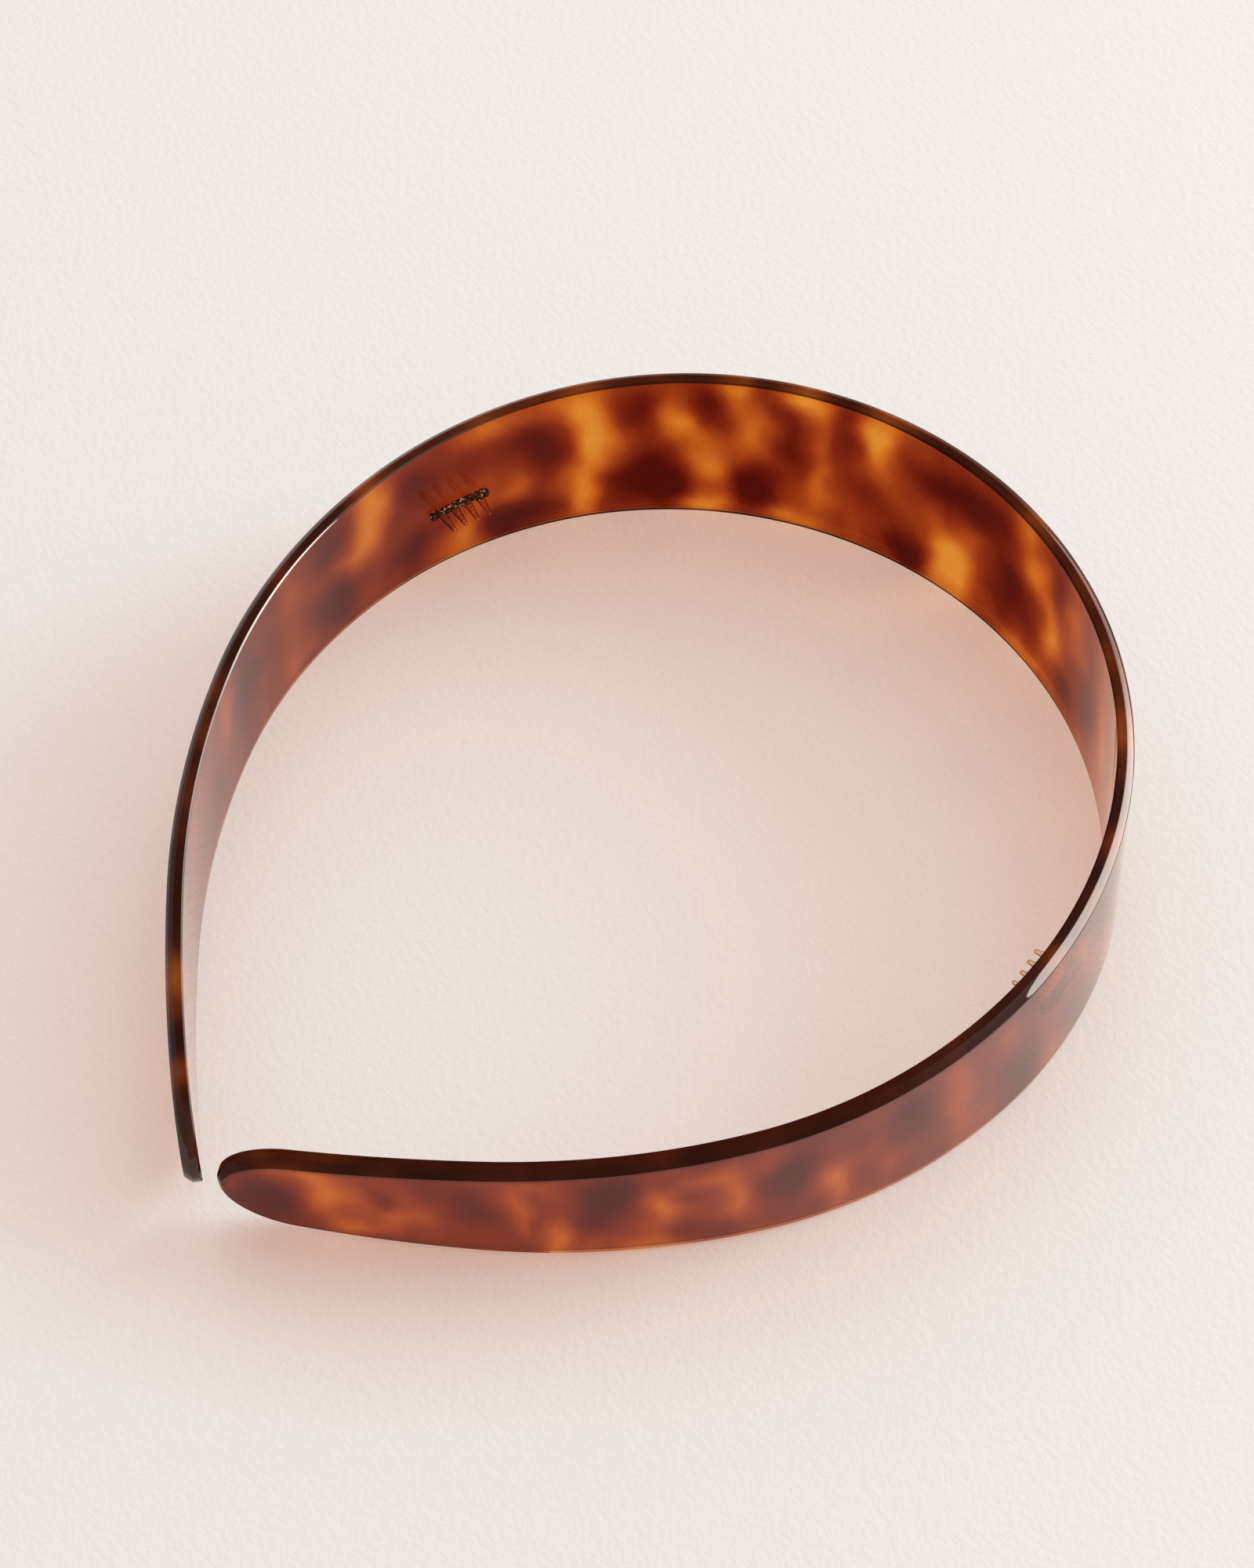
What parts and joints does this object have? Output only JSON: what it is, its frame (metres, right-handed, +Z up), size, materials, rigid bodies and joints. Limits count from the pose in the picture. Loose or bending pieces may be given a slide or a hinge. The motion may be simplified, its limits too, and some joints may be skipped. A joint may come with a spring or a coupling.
{
  "type": "headband",
  "caption": "Wide hard headband of polished tortoiseshell acetate with a small clear grip comb inside each arm.",
  "frame": {"origin": "middle of the ring, on the surface that the band rests on when it lies on one long edge", "axes": "+Z up across the band's width, +Y towards the crown, +X towards the right arm; the tips meet at -Y"},
  "size_m": [0.126, 0.1525, 0.0317],
  "materials": {
    "tortoiseshell": "polished cellulose acetate, amber with dark brown mottling",
    "clear_plastic": "clear, faintly yellow moulded plastic",
    "adhesive": "rough dark amber bead"
  },
  "bodies": {
    "crown": {"crown": "tortoiseshell"},
    "left_arm": {"left_arm": "tortoiseshell", "left_comb": "clear_plastic", "left_comb_adhesive": "adhesive"},
    "right_arm": {"right_arm": "tortoiseshell", "right_comb": "clear_plastic", "right_comb_adhesive": "adhesive"}
  },
  "joints": [
    {"name": "left_arm_flex", "type": "hinge", "parent": "crown", "child": "left_arm", "pos_m": [-0.0315, 0.0672, 0.01553], "axis": [0, 0.0433, -0.9991], "range_deg": [0, 22], "stiffness_Nm_per_rad": 1.2},
    {"name": "right_arm_flex", "type": "hinge", "parent": "crown", "child": "right_arm", "pos_m": [0.0315, 0.0672, 0.01553], "axis": [0, -0.0433, 0.9991], "range_deg": [0, 22], "stiffness_Nm_per_rad": 1.2}
  ]
}
